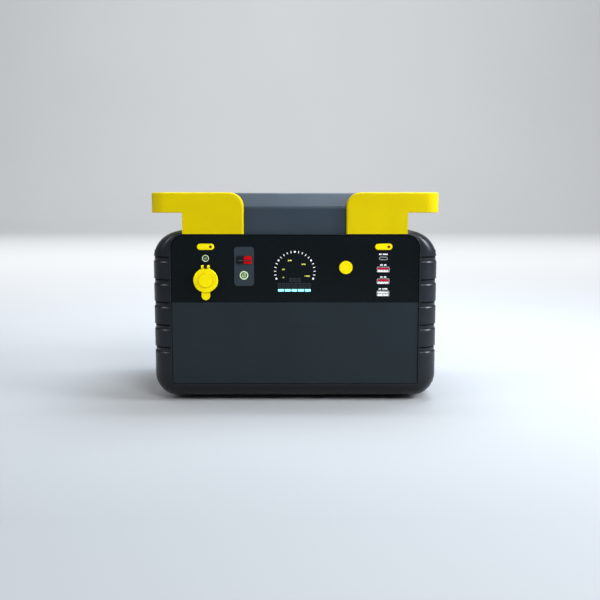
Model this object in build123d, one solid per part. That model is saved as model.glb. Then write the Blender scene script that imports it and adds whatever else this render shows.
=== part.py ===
from build123d import *
from math import sin, cos, radians
import os

# A camping power station. Millimetres, +X to the right, +Y to the back, +Z up.
# The origin is on the ground, under the middle of the housing.

# Housing
HALF_WIDTH = 149.0           # across the ribbed ends
HALF_DEPTH = 95.0
BASE_Z = 3.5                 # underside of the housing, which stands on feet
TOP_Z = 179.0
TOP_CORNER, BASE_CORNER = 30.0, 25.0
NOSE = 20.0                  # how far back the rounded front edge reaches
WALL = 3.6
CAVITY_TOP = 172.4

# Flat front and back faces, inside the rounded edge
FACE_HALF = 129.4
FACE_LOW, FACE_HIGH = 18.6, 176.3
FACE_TOP_CORNER, FACE_LOW_CORNER = 13.6, 2.5
LIP = 1.0                    # rim left standing round the panels
BEAD = 0.5                   # how far the rounded rim stands out
PANEL_SINK = 0.4             # panels lie this far below the rim
PANEL_THICK = 3.0
PANEL_GAP = 0.15
SPLIT_Z = 105.5              # control panel above, lower panel below
LEDGE_HALF = 124.0
POST_X, POST_Z = 121.0, (28.0, 158.0)    # posts for the screws that join the two halves

# Grooves round the ends
GROOVE_COUNT = 5
GROOVE_PITCH = 23.7
GROOVE_TOP = 105.7           # top edge of the middle groove
GROOVE_HEIGHT = 6.2
GROOVE_FLOOR = (0.7, 1.2)    # depth at the ends and at the front
GROOVE_SLOT = (0.7, 3.2)     # depth of the narrow slot along its top
GROOVE_EDGE = (0.4, 0.4)     # depth at which the bevel on its lower edge starts
SLOT_HEIGHT = 1.5
EDGE_HEIGHT = 0.9
FLOOR_CORNER = 20.5          # turns more gently than the wall, so a groove is deepest at the corner
EDGE_CORNER = 19.6
GROOVE_START = 130.6

# Hump and handles
SEAT_Z = 176.3               # the hump and handles sit here
CROWN_Z = 218.8              # top of the handles
HUMP_TOP = 218.4
HUMP_HALF = 98.0
HUMP_HALF_DEPTH = 91.0
HUMP_WALL = 3.2
HUMP_SLOPE = 14.8            # height and depth of the sloping front top edge
BRACKET_IN, BRACKET_OUT = 52.9, 115.9
BRACKET_CORNER = 15.0
HANDLE_FRONT = 96.0
HANDLE_THICK = 14.0
GRIP_OUT = 148.6
GRIP_WIDTH = 22.0
GRIP_LOW = 198.0
GRIP_CORNER = 14.0

# Control panel fittings: (x, z) of each centre
DC_PILL = (-92.2, 163.1)
USB_PILL = (91.4, 163.1)
PILL = (17.6, 6.5)
PILL_LAMP = 5.2              # lamp centre, right of the pill's centre
DC_JACK = (-92.4, 151.2)
CAR_SOCKET = (-92.2, 128.6)
CAP_RADIUS = 12.7
CAP_HINGE_Z = 142.6
INPUT_PLATE = (-52.6, 142.85)
INPUT_PLATE_SIZE = (20.4, 40.5)
POLE_Z = 149.6
POLE_SIZE = 7.9
CHARGE_JACK = (-52.7, 133.6)
GAUGE = (-0.2, 137.5)
POWER_BUTTON = (52.5, 141.7)
POWER_RADIUS = 6.8
PORT_X = 91.2
USB_C_Z = 151.1
USB_A_Z = (139.6, 127.4, 114.7)
USB_A_SIZE = (12.2, 4.9)
USB_C_SIZE = (8.94, 3.2)

# Back panel fittings
OUTLETS = (-78.0, -34.0)
OUTLET_Z = 128.0
OUTLET_SIZE = 34.0
AC_PILL = (-56.0, 161.0)
FAN = (66.0, 118.0)
FAN_SIZE = 60.0
GRILLE_PROUD = 1.2
INTAKE = (-56.0, 62.0)
INTAKE_SLOTS = 15

# Buttons
TRAVEL = 0.8
CLEAR = 0.3

# Battery
CELL_RADIUS, CELL_LENGTH = 9.175, 65.2
CELL_PITCH = 19.0
CELL_COLUMNS, CELL_ROWS = 12, 5
CELL_Z = 10.2
DECK_Z = 86.0
INVERTER_Z = 92.2

FRONT = -HALF_DEPTH
PANEL_FRONT = FRONT + PANEL_SINK
PANEL_BACK = PANEL_FRONT + PANEL_THICK
BOARD_Y = -80.2              # front of the control board


def facing_front(y):
    """Sketch plane whose own X and Y are the object's X and Z."""
    return Plane(origin=(0, y, 0), x_dir=(1, 0, 0), z_dir=(0, -1, 0))


def between(sketch, front, back):
    """A sketch drawn as seen from the front, filled from one depth to another."""
    return extrude(facing_front(back) * sketch, amount=back - front)


def layer(sketch, low, high):
    """A plan sketch, filled from one height to another."""
    return extrude(Plane.XY.offset(low) * sketch, amount=high - low)


def block(x, y, z):
    """A box from three (low, high) pairs."""
    size = [high - low for low, high in (x, y, z)]
    return Pos(*[(low + high) / 2 for low, high in (x, y, z)]) * Box(*size)


def disc(place, radius, front, back):
    return between(Pos(*place) * Circle(radius), front, back)


def ring(place, outer, inner, front, back):
    return between(Pos(*place) * (Circle(outer) - Circle(inner)), front, back)


def along_x(y, z, radius, low, high):
    return extrude(Plane.YZ.offset(low) * Pos(y, z) * Circle(radius), amount=high - low)


def to_back(shape):
    """The same shape on the back of the object."""
    return mirror(shape, Plane.XZ)


def group(solids):
    return Compound([solid for shape in solids for solid in shape.solids()])


# ---------------------------------------------------------------- housing
def outline(half, low, high, low_radius, high_radius):
    """Rectangle standing on its own lower edge, with separate low and high corners."""
    sketch = Pos(0, (low + high) / 2) * Rectangle(2 * half, high - low)
    sketch = fillet(sketch.vertices().group_by(Axis.Y)[-1], high_radius)
    return fillet(sketch.vertices().group_by(Axis.Y)[0], low_radius)


def face_outline(inset):
    return outline(
        FACE_HALF - inset,
        FACE_LOW + inset,
        FACE_HIGH - inset,
        FACE_LOW_CORNER - inset,
        FACE_TOP_CORNER - inset,
    )


def nose_section(angle):
    """The housing's outline part of the way round its quarter-round front edge."""
    out = sin(radians(angle))
    sketch = outline(
        FACE_HALF + (HALF_WIDTH - FACE_HALF) * out,
        FACE_LOW + (BASE_Z - FACE_LOW) * out,
        FACE_HIGH + (TOP_Z - FACE_HIGH) * out,
        FACE_LOW_CORNER + (BASE_CORNER - FACE_LOW_CORNER) * out,
        FACE_TOP_CORNER + (TOP_CORNER - FACE_TOP_CORNER) * out,
    )
    return facing_front(FRONT + NOSE * (1 - cos(radians(angle)))) * sketch


def housing_block():
    nose = loft([nose_section(angle) for angle in range(0, 91, 15)])
    full = outline(HALF_WIDTH, BASE_Z, TOP_Z, BASE_CORNER, TOP_CORNER)
    return nose + between(full, FRONT + NOSE, 0)


def inset_plan(depths, corner):
    """Plan outline of the housing, drawn in by one depth at the ends and another at the front."""
    return RectangleRounded(2 * (HALF_WIDTH - depths[0]), 2 * (HALF_DEPTH - depths[1]), corner)


def groove(top):
    """One groove: a narrow slot at its top, a flat floor, and a bevel out to the wall below."""
    low = top - GROOVE_HEIGHT
    edge = low + EDGE_HEIGHT
    slot = top - SLOT_HEIGHT
    cutter = block((-170, 170), (-110, 1), (low - 1, top))
    cutter -= layer(inset_plan(GROOVE_SLOT, FLOOR_CORNER), slot, top + 1)
    cutter -= layer(inset_plan(GROOVE_FLOOR, FLOOR_CORNER), edge, slot)
    bevel = Plane.XY.offset(edge) * inset_plan(GROOVE_EDGE, EDGE_CORNER)
    cutter -= extrude(bevel, amount=-EDGE_HEIGHT - 1.5, taper=-24)
    middle = block((-GROOVE_START, GROOVE_START), (-111, 2), (low - 3, top + 3))
    return cutter - middle


def rim():
    """Rounded bead round the panels, at the sides and the top."""
    bead = between(face_outline(0) - face_outline(LIP), FRONT - BEAD, FRONT + 1)
    front_edges = [edge for edge in bead.edges() if abs(edge.center().Y - FRONT + BEAD) < 0.01]
    bead = fillet(front_edges, 0.45)
    return bead - block((-150, 150), (FRONT - 1, FRONT + 2), (0, FACE_LOW + FACE_LOW_CORNER))


def screw_posts():
    """Four posts in the housing's corners, each tied to the side wall by a rib."""
    posts = Part()
    for side in (-1, 1):
        for z in POST_Z:
            posts += disc((side * POST_X, z), 4.9, -82, 0)
            posts += block(sorted((side * POST_X, side * 147)), (-82, 0), (z - 1.4, z + 1.4))
    return posts


def post_holes(radius, front, back):
    holes = Part()
    for side in (-1, 1):
        for z in POST_Z:
            holes += disc((side * POST_X, z), radius, front, back)
    return holes


def half_housing():
    body = housing_block()
    inner = outline(
        HALF_WIDTH - WALL, BASE_Z + WALL - 0.1, CAVITY_TOP, BASE_CORNER - WALL, TOP_CORNER - WALL
    )
    body -= between(inner, -80, 1)
    body += screw_posts() + rim()
    body -= between(face_outline(LIP), FRONT - 1, PANEL_BACK)
    body -= between(outline(LEDGE_HALF, 24, 170.5, 1.5, 9), PANEL_BACK - 1, -79)
    body -= block((-BRACKET_OUT - 0.2, BRACKET_OUT + 0.2), (-100, 1), (SEAT_Z, TOP_Z + 5))
    for number in range(GROOVE_COUNT):
        offset = number - (GROOVE_COUNT - 1) / 2
        body -= groove(GROOVE_TOP - offset * GROOVE_PITCH)
    seam = between(Rectangle(400, 500), -0.5, 1)
    seam -= between(outline(HALF_WIDTH - 0.7, BASE_Z + 0.7, TOP_Z - 0.7, 24, 29), -1, 2)
    body -= seam
    for x in (-80, 80):
        body -= Pos(x, -50, TOP_Z) * Cylinder(2.2, 30)
    return body


def housing():
    half = half_housing()
    front = half - post_holes(1.6, -20, 1)
    back = to_back(half - post_holes(3.9, -100, -12) - post_holes(2.1, -13, 1))
    return {"front_shell": front, "rear_shell": back}


def feet():
    pad = RectangleRounded(34, 16, 7.9)
    one = layer(pad, 0, BASE_Z)
    one = chamfer(one.edges().group_by(Axis.Z)[0], 0.9)
    return {"rubber_feet": group(Pos(x, y) * one for x in (-92, 92) for y in (-52, 52))}


# ---------------------------------------------------------------- front panels
def pill(place, grow=0.0):
    width, height = PILL
    return Pos(*place) * SlotOverall(width + 2 * grow, height + 2 * grow)


def port_outline(size, grow):
    return RectangleRounded(size[0] + 2 * grow, size[1] + 2 * grow, 0.7 + grow)


def usb_c_outline(grow):
    return SlotOverall(USB_C_SIZE[0] + 2 * grow, USB_C_SIZE[1] + 2 * grow)


def soften_rim(panel):
    """Bevel the outer edge of a panel's front face."""
    face = panel.faces().sort_by(Axis.Y)[0]
    return chamfer(face.outer_wire().edges(), 0.35)


def control_panel():
    sketch = face_outline(LIP + PANEL_GAP)
    sketch -= Pos(0, SPLIT_Z - 100) * Rectangle(400, 200)
    for cut in (
        pill(DC_PILL, CLEAR),
        pill(USB_PILL, CLEAR),
        Pos(*DC_JACK) * Circle(3.5),
        Pos(*CAR_SOCKET) * Circle(11.8),
        Pos(*INPUT_PLATE) * RectangleRounded(*INPUT_PLATE_SIZE, 3.5),
        Pos(*POWER_BUTTON) * Circle(POWER_RADIUS + CLEAR),
        Pos(PORT_X, USB_C_Z) * usb_c_outline(0.05),
    ):
        sketch -= cut
    for z in USB_A_Z:
        sketch -= Pos(PORT_X, z) * port_outline(USB_A_SIZE, 0.35)
    panel = soften_rim(between(sketch, PANEL_FRONT, PANEL_BACK))
    return panel - between(Pos(GAUGE[0], 135) * Rectangle(58, 50), PANEL_BACK - 2, PANEL_BACK + 1)


def lower_panel():
    sketch = face_outline(LIP + PANEL_GAP)
    sketch -= Pos(0, SPLIT_Z - 0.1 + 100) * Rectangle(400, 200)
    return soften_rim(between(sketch, PANEL_FRONT, PANEL_BACK))


def input_plate():
    plate = between(
        Pos(*INPUT_PLATE) * RectangleRounded(*INPUT_PLATE_SIZE, 3.5), PANEL_FRONT - 0.4, PANEL_BACK
    )
    poles = Rectangle(2 * POLE_SIZE + 0.1, POLE_SIZE + 0.1)
    plate -= between(Pos(INPUT_PLATE[0], POLE_Z) * poles, -100, -80)
    return plate - disc(CHARGE_JACK, 4.4, -100, -80)


def power_pole(side):
    """One genderless connector housing: a square shroud with a flat contact bay across it."""
    x = INPUT_PLATE[0] + side * POLE_SIZE / 2
    shroud = Rectangle(POLE_SIZE, POLE_SIZE)
    shroud = fillet(shroud.vertices().group_by(Axis.Y)[-1], 1.1)
    body = between(Pos(x, POLE_Z) * shroud, PANEL_FRONT - 1.4, BOARD_Y - 0.1)
    body -= between(Pos(x, POLE_Z - 0.5) * Rectangle(5.9, 1.9), PANEL_FRONT - 2, BOARD_Y - 2)
    return body - between(Pos(x, POLE_Z - 2.2) * Rectangle(7, 0.5), PANEL_FRONT - 2, PANEL_FRONT - 1)


def power_pole_contacts():
    blades = []
    for side in (-1, 1):
        x = INPUT_PLATE[0] + side * POLE_SIZE / 2
        blade = Pos(x, POLE_Z - 0.9) * Rectangle(4.4, 0.8)
        blades.append(between(blade, PANEL_FRONT + 3, BOARD_Y - 2))
    return group(blades)


def jacks():
    charge = ring(CHARGE_JACK, 4.35, 3.3, PANEL_FRONT - 0.9, PANEL_FRONT + 10)
    charge += ring(CHARGE_JACK, 2.1, 1.45, PANEL_FRONT - 0.3, PANEL_FRONT + 10)
    charge += ring(CHARGE_JACK, 5.4, 0.65, PANEL_FRONT + 9, PANEL_FRONT + 13)
    output = ring(DC_JACK, 3.45, 2.8, PANEL_FRONT - 0.5, PANEL_FRONT + 9)
    output += ring(DC_JACK, 5.0, 1.2, PANEL_FRONT + 9, PANEL_FRONT + 12)
    pins = [
        disc(CHARGE_JACK, 0.65, PANEL_FRONT, PANEL_FRONT + 13),
        disc(DC_JACK, 1.2, PANEL_FRONT - 0.1, PANEL_FRONT + 12),
    ]
    pins = [fillet(pin.faces().sort_by(Axis.Y)[0].edges(), 0.5) for pin in pins]
    return {"charge_jack": charge, "dc_output_jack": output, "jack_pins": group(pins)}


def usb_ports():
    nodes = {}
    place = Pos(PORT_X, USB_C_Z)
    shell = between(place * (usb_c_outline(0) - usb_c_outline(-0.3)), PANEL_FRONT - 0.2, -87.5)
    nodes["usb_c_shell"] = shell + between(place * usb_c_outline(0), -87.5, BOARD_Y)
    nodes["usb_c_tongue"] = between(place * Rectangle(6.7, 0.7), PANEL_FRONT + 0.8, -87.5)
    for number, z in enumerate(USB_A_Z, 1):
        place = Pos(PORT_X, z)
        wall = port_outline(USB_A_SIZE, 0.3) - port_outline(USB_A_SIZE, 0)
        shell = between(place * wall, PANEL_FRONT - 0.2, -82)
        shell += between(place * port_outline(USB_A_SIZE, 0.3), -82, BOARD_Y)
        nodes[f"usb_a_shell_{number}"] = shell
        tongue = Pos(PORT_X, z + 1.0) * Rectangle(11.1, 1.84)
        nodes[f"usb_a_tongue_{number}"] = between(tongue, PANEL_FRONT + 0.6, -82)
    return nodes


def display_module():
    glass = between(Pos(GAUGE[0], 135) * Rectangle(57, 49), PANEL_BACK - 2, PANEL_BACK + 1)
    return glass + between(Pos(GAUGE[0], 135) * Rectangle(62, 54), PANEL_BACK + 0.3, PANEL_BACK + 5)


# ---------------------------------------------------------------- buttons
def button(face, flange, stem_at, proud):
    """A button with a retaining flange behind the panel and a stem for its switch."""
    cap = between(face, PANEL_FRONT - proud, PANEL_BACK + CLEAR + 0.5)
    cap = fillet(cap.faces().sort_by(Axis.Y)[0].edges(), 0.6)
    cap += between(flange, PANEL_BACK + CLEAR, PANEL_BACK + CLEAR + 1.2)
    return cap + disc(stem_at, 1.5, PANEL_BACK, BOARD_Y - 3.2 - TRAVEL)


def pill_button(place):
    cap = button(pill(place), pill(place, 1.3), place, 1.0)
    lamp_at = (place[0] + PILL_LAMP, place[1])
    cap -= disc(lamp_at, 1.5, PANEL_FRONT - 2, PANEL_FRONT + 0.6)
    lamp = disc(lamp_at, 1.5, PANEL_FRONT - 0.9, PANEL_FRONT + 0.6)
    return cap, lamp


def power_button():
    place = POWER_BUTTON
    face = Pos(*place) * Circle(POWER_RADIUS)
    cap = button(face, Pos(*place) * Circle(POWER_RADIUS + 1.4), place, 1.4)
    dish = ring(place, 4.6, 4.1, PANEL_FRONT - 2, PANEL_FRONT - 1.1)
    return cap - dish


def switch(place):
    """A small push switch standing on the control board."""
    body = between(Pos(*place) * Rectangle(6, 6), BOARD_Y - 2.4, BOARD_Y)
    return body + disc(place, 1.7, BOARD_Y - 3.1, BOARD_Y - 2.4)


def buttons():
    nodes = {}
    nodes["dc_button"], nodes["dc_button_lamp"] = pill_button(DC_PILL)
    nodes["usb_button"], nodes["usb_button_lamp"] = pill_button(USB_PILL)
    nodes["power_button"] = power_button()
    ac, lamp = pill_button(AC_PILL)
    nodes["ac_button"], nodes["ac_button_lamp"] = to_back(ac), to_back(lamp)
    switches = [switch(place) for place in (DC_PILL, USB_PILL, POWER_BUTTON)]
    nodes["button_switches"] = group(switches + [to_back(switch(AC_PILL))])
    return nodes


# ---------------------------------------------------------------- car socket
SOCKET_BORE = 10.6
SOCKET_SEAT = FRONT + 35         # end of the wall that holds a plug
SOCKET_END = FRONT + 40
BEZEL_FRONT = PANEL_FRONT - 1.6
CAP_INNER = BEZEL_FRONT - CLEAR
CAP_FRONT = CAP_INNER - 2.4
HINGE_Y = -97.9
HINGE_X = CAR_SOCKET[0]
EAR_OUT, EAR_IN = 4.35, 1.85     # ears, either side of the middle lug
EAR_RADIUS = 1.9


def car_socket():
    barrel = ring(CAR_SOCKET, 11.7, SOCKET_BORE, PANEL_FRONT, SOCKET_SEAT)
    barrel += ring(CAR_SOCKET, 11.7, 9.0, SOCKET_SEAT, SOCKET_END)
    barrel += ring(CAR_SOCKET, 11.7, 3.0, SOCKET_END, SOCKET_END + 2)
    bezel = ring(CAR_SOCKET, 12.6, SOCKET_BORE + 0.3, BEZEL_FRONT, PANEL_FRONT)
    arm = Pos(HINGE_X, (CAP_HINGE_Z + CAR_SOCKET[1] + 12) / 2) * Rectangle(
        2 * EAR_IN - 0.7, CAP_HINGE_Z - CAR_SOCKET[1] - 9
    )
    bezel += between(arm, BEZEL_FRONT, PANEL_FRONT)
    low, high = HINGE_X - EAR_IN + 0.35, HINGE_X + EAR_IN - 0.35
    bezel += along_x(HINGE_Y, CAP_HINGE_Z, 1.55, low, high)
    bezel += block((low, high), (HINGE_Y, PANEL_FRONT), (CAP_HINGE_Z - 1.5, CAP_HINGE_Z + 1.5))
    bezel -= along_x(HINGE_Y, CAP_HINGE_Z, 0.66, low - 1, high + 1)
    nut = ring(CAR_SOCKET, 15.5, 11.8, PANEL_BACK, PANEL_BACK + 5)
    for x in (-13.4, 13.4):
        nut -= disc((CAR_SOCKET[0] + x, CAR_SOCKET[1]), 1.2, PANEL_BACK + 1, PANEL_BACK + 6)
    contact = disc(CAR_SOCKET, 2.9, SOCKET_SEAT + 1, SOCKET_END + 5)
    contact += disc(CAR_SOCKET, 4.5, SOCKET_SEAT + 0.6, SOCKET_SEAT + 1.6)
    return {
        "car_socket_barrel": barrel,
        "car_socket_bezel": bezel,
        "car_socket_nut": nut,
        "car_socket_contact": contact,
    }


def socket_cap():
    x, z = CAR_SOCKET
    cap = disc(CAR_SOCKET, CAP_RADIUS, CAP_FRONT, CAP_INNER)
    cap = fillet(cap.faces().sort_by(Axis.Y)[0].edges(), 0.9)
    boss = disc(CAR_SOCKET, 7.3, CAP_FRONT - 0.9, CAP_FRONT + 0.5)
    cap += fillet(boss.faces().sort_by(Axis.Y)[0].edges(), 0.2)
    cap -= ring(CAR_SOCKET, 7.75, 7.3, CAP_FRONT - 1, CAP_FRONT + 0.4)
    cap += disc(CAR_SOCKET, 9.6, CAP_INNER, CAP_INNER + 1.6)
    tab_end = Pos(x, z - 16.1) * Circle(4.4)
    tab = tab_end + Pos(x, z - 11) * Rectangle(8.8, 10.2)
    cap += between(tab, CAP_INNER - 0.9, CAP_INNER)
    neck_high = CAP_HINGE_Z - EAR_RADIUS
    neck = Pos(x, (z + 8 + neck_high) / 2) * Rectangle(2 * EAR_OUT, neck_high - z - 8)
    cap += between(neck, CAP_FRONT + 0.3, CAP_INNER)
    cap -= block((x - EAR_IN, x + EAR_IN), (-110, CAP_INNER + 1), (neck_high, CAP_HINGE_Z + 5))
    for low, high in ((-EAR_OUT, -EAR_IN), (EAR_IN, EAR_OUT)):
        ear = along_x(HINGE_Y, CAP_HINGE_Z, EAR_RADIUS, x + low, x + high)
        ear += block((x + low, x + high), (CAP_FRONT + 0.3, CAP_INNER), (neck_high - 1, CAP_HINGE_Z))
        cap += ear - along_x(HINGE_Y, CAP_HINGE_Z, 0.6, x + low, x + high)
    pin = along_x(HINGE_Y, CAP_HINGE_Z, 0.6, x - EAR_OUT, x + EAR_OUT)
    return {"car_socket_cap": cap, "cap_hinge_pin": pin}


# ---------------------------------------------------------------- hump and handles
def hump_section(inset):
    """Side view of the hump: upright faces with a long sloping edge at front and back."""
    half = HUMP_HALF_DEPTH - inset
    top = HUMP_TOP - inset
    shoulder = HUMP_TOP - HUMP_SLOPE - inset * 0.4
    low = SEAT_Z if inset == 0 else SEAT_Z - 1
    points = [
        (-half, low),
        (-half, shoulder),
        (-half + HUMP_SLOPE - inset * 0.6, top),
        (half - HUMP_SLOPE + inset * 0.6, top),
        (half, shoulder),
        (half, low),
    ]
    sketch = make_face(Polyline(*points, close=True))
    return fillet(sketch.vertices().group_by(Axis.Y)[1:], 4.0)


def bracket_outline(grow=0.0):
    """Front view of the right-hand bracket, rounded at its top inner corner."""
    low, high = SEAT_Z - grow, CROWN_Z + grow
    left, right = BRACKET_IN - grow, BRACKET_OUT + grow
    plate = Pos((left + right) / 2, (low + high) / 2) * Rectangle(right - left, high - low)
    top_inner = plate.vertices().group_by(Axis.Y)[-1].sort_by(Axis.X)[0]
    return fillet(top_inner, BRACKET_CORNER + grow)


def hump():
    outer = extrude(Plane.YZ.offset(-HUMP_HALF) * hump_section(0), amount=2 * HUMP_HALF)
    ends = [face for face in outer.faces() if abs(abs(face.center().X) - HUMP_HALF) < 0.1]
    rims = [edge for face in ends for edge in face.edges() if edge.center().Z > SEAT_Z + 1]
    outer = fillet(rims, 5.0)
    recess = between(bracket_outline(CLEAR), -100, HANDLE_THICK - HANDLE_FRONT + CLEAR / 3)
    recess += mirror(recess, Plane.YZ)
    cover = outer - recess - to_back(recess)
    deep = HANDLE_FRONT - HANDLE_THICK - HUMP_WALL - 1
    half = HUMP_HALF - HUMP_WALL
    cavity = extrude(Plane.YZ.offset(-half) * hump_section(HUMP_WALL), amount=2 * half)
    cavity -= block((-120, -BRACKET_IN + 3.5), (-100, -deep), (150, 230))
    cavity -= block((BRACKET_IN - 3.5, 120), (-100, -deep), (150, 230))
    cavity -= block((-120, -BRACKET_IN + 3.5), (deep, 100), (150, 230))
    cavity -= block((BRACKET_IN - 3.5, 120), (deep, 100), (150, 230))
    cover -= cavity
    for x in (-80, 80):
        for y in (-50, 50):
            boss = Pos(x, y) * layer(Circle(5), SEAT_Z, HUMP_TOP - 1)
            cover += boss - Pos(x, y) * layer(Circle(1.95), SEAT_Z - 1, SEAT_Z + 18)
    for x, z in handle_screw_places():
        cover -= disc((x, z), 2.1, -100, 100)
    return cover


def handle_screw_places():
    return [(side * x, z) for side in (-1, 1) for x in (66, 88) for z in (188, 204)]


def handle(side):
    """A bracket at the front and the back, joined by a grip that runs along the depth."""
    inner_x = HUMP_HALF + 6
    loop = Pos((inner_x + GRIP_OUT) / 2, 0) * Rectangle(GRIP_OUT - inner_x, 2 * HANDLE_FRONT)
    loop = fillet(loop.vertices().group_by(Axis.X)[-1], GRIP_CORNER)
    hole_out = GRIP_OUT - GRIP_WIDTH
    arm = HANDLE_FRONT - HANDLE_THICK
    hole = Pos((inner_x - 5 + hole_out) / 2, 0) * Rectangle(hole_out - inner_x + 5, 2 * arm)
    loop -= fillet(hole.vertices().group_by(Axis.X)[-1], 9.0)
    body = layer(loop, GRIP_LOW, CROWN_Z)
    for front, back in ((-HANDLE_FRONT, -arm), (arm, HANDLE_FRONT)):
        body += between(bracket_outline(), front, back)
    body = soften_handle(body)
    for x, z in handle_screw_places():
        if x > 0:
            body -= disc((x, z), 1.9, -arm - 9, arm + 9)
    return body if side > 0 else mirror(body, Plane.YZ)


def soften_handle(body):
    """Round the edges of the grip's bar, and those of the front and back faces."""
    hole_edges = [
        edge for edge in body.edges()
        if abs(edge.center().X - GRIP_OUT + GRIP_WIDTH) < 0.1 and edge.length > 50
    ]
    body = fillet(hole_edges, 3.0)
    face_edges = [
        edge for edge in body.edges()
        if abs(abs(edge.center().Y) - HANDLE_FRONT) < 0.01 and edge.center().Z > SEAT_Z + 1
    ]
    body = fillet([edge for edge in face_edges if edge.center().Z > GRIP_LOW + 0.1], 2.0)
    under = [
        edge for edge in body.edges()
        if abs(edge.center().Z - GRIP_LOW) < 0.01 and edge.center().X > BRACKET_OUT
        and abs(edge.center().Y) > HANDLE_FRONT - HANDLE_THICK + 1
    ]
    return fillet(under, 0.7)


def screw(head_radius, head_height, shank_radius, length):
    """A pan-head screw standing on its tip: the head is at the top, from z = 0 up."""
    head = fillet(Cylinder(head_radius, head_height).edges().group_by(Axis.Z)[-1], 0.4)
    head = Pos(0, 0, head_height / 2) * head
    body = head + Pos(0, 0, -length / 2) * Cylinder(shank_radius, length)
    for turn in (0, 90):
        body -= Pos(0, 0, head_height) * Rot(0, 0, turn) * Box(head_radius, 0.9, 1.6)
    return body


def handle_screws():
    """M4 screws from inside the hump into the brackets, and up into the hump's bosses."""
    one = screw(3.4, 2.4, 1.85, 12)
    inside = HANDLE_FRONT - HANDLE_THICK - HUMP_WALL - 1
    screws = []
    for x, z in handle_screw_places():
        screws.append(Pos(x, -inside, z) * Rot(-90, 0, 0) * one)
        screws.append(Pos(x, inside, z) * Rot(90, 0, 0) * one)
    for x in (-80, 80):
        for y in (-50, 50):
            screws.append(Pos(x, y, CAVITY_TOP) * Rot(180, 0, 0) * one)
    return group(screws)


def housing_screws():
    """Screws through the back half's posts into the front half's."""
    one = screw(3.4, 2.4, 1.55, 28)
    return group(
        Pos(side * POST_X, 12, z) * Rot(-90, 0, 0) * one for side in (-1, 1) for z in POST_Z
    )


# ---------------------------------------------------------------- back panel
def back_panel():
    """Drawn at the front, like the panels there, then put on the back."""
    sketch = face_outline(LIP + PANEL_GAP)
    sketch -= pill(AC_PILL, CLEAR)
    sketch -= Pos(*FAN) * Circle(FAN_SIZE / 2 - 1)
    sketch -= outlet_outline()
    for number in range(INTAKE_SLOTS):
        x = INTAKE[0] + (number - (INTAKE_SLOTS - 1) / 2) * 6
        sketch -= Pos(x, INTAKE[1]) * SlotOverall(24, 2.6, rotation=90)
    panel = soften_rim(between(sketch, PANEL_FRONT, PANEL_BACK))
    for x, z in fan_screw_places():
        panel -= disc((x, z), 1.7, -100, -80)
    return to_back(panel)


def outlet_slots(x):
    """Two flat blades side by side above a round earth pin."""
    slots = Pos(x - 6.35, OUTLET_Z + 3) * Rectangle(2.2, 8.8)
    slots += Pos(x + 6.35, OUTLET_Z + 3) * Rectangle(2.2, 7.2)
    return slots + Pos(x, OUTLET_Z - 8.9) * Circle(2.6)


def outlet_outline():
    """Face of the twin outlet block, round both sockets."""
    middle = (OUTLETS[0] + OUTLETS[1]) / 2
    width = abs(OUTLETS[1] - OUTLETS[0]) + OUTLET_SIZE
    return Pos(middle, OUTLET_Z) * RectangleRounded(width, OUTLET_SIZE, 4)


def outlet_block():
    body = between(outlet_outline(), PANEL_FRONT - 0.8, -74)
    body = chamfer(body.faces().sort_by(Axis.Y)[0].edges(), 0.7)
    for x in OUTLETS:
        body -= ring((x, OUTLET_Z), 16.2, 15.6, PANEL_FRONT - 2, PANEL_FRONT)
        body -= between(outlet_slots(x), -100, -78)
    return to_back(body)


def outlet_contacts():
    contacts = []
    for x in OUTLETS:
        for side in (-1, 1):
            leaf = Pos(x + side * 5.6, OUTLET_Z + 3) * Rectangle(0.5, 6.0)
            contacts.append(to_back(between(leaf, -90, -78)))
        contacts.append(to_back(ring((x, OUTLET_Z - 8.9), 2.6, 2.3, -90, -78)))
    return group(contacts)


def fan_screw_places():
    reach = FAN_SIZE / 2 - 5
    return [(FAN[0] + sx * reach, FAN[1] + sz * reach) for sx in (-1, 1) for sz in (-1, 1)]


def fan_grille():
    """Square frame with concentric rings on four spokes, on the outside of the back panel."""
    sketch = Pos(*FAN) * (RectangleRounded(FAN_SIZE + 2, FAN_SIZE + 2, 5) - Circle(27.5))
    for radius in (23.5, 18.5, 13.5, 8.5):
        sketch += Pos(*FAN) * (Circle(radius + 0.9) - Circle(radius - 0.9))
    sketch += Pos(*FAN) * Circle(4)
    for turn in (45, 135):
        sketch += Pos(*FAN) * Rot(0, 0, turn) * Rectangle(56, 2)
    grille = between(sketch, PANEL_FRONT - GRILLE_PROUD, PANEL_FRONT)
    grille += ring(FAN, 28.9, 27.4, PANEL_FRONT - GRILLE_PROUD, PANEL_FRONT + 1.5)
    for x, z in fan_screw_places():
        grille -= disc((x, z), 1.7, -100, -80)
    return to_back(grille)


def fan_frame():
    square = Pos(*FAN) * (RectangleRounded(FAN_SIZE, FAN_SIZE, 4) - Circle(28.0))
    frame = between(square, PANEL_BACK, PANEL_BACK + 15)
    hub_back = PANEL_BACK + 15
    spokes = Pos(*FAN) * Circle(12)
    for turn in (0, 120, 240):
        spokes += Pos(*FAN) * Rot(0, 0, turn) * Pos(14.5, 0) * Rectangle(29, 3)
    frame += between(spokes, hub_back - 2.5, hub_back)
    frame -= disc(FAN, 1.55, PANEL_BACK, hub_back + 1)
    for x, z in fan_screw_places():
        frame -= disc((x, z), 1.5, PANEL_BACK - 1, hub_back + 1)
    return to_back(frame)


def fan_blade(turn):
    root = Plane(origin=(0, 0, 11.5), x_dir=(1, 0, 0), z_dir=(0, 0, 1))
    tip = Plane(origin=(0, 0, 27.2), x_dir=(1, 0, 0), z_dir=(0, 0, 1))
    blade = loft([root * Rot(0, 0, 42) * Rectangle(9, 1.3), tip * Rot(0, 0, 28) * Rectangle(12, 1.1)])
    return Rot(0, turn, 0) * blade


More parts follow.
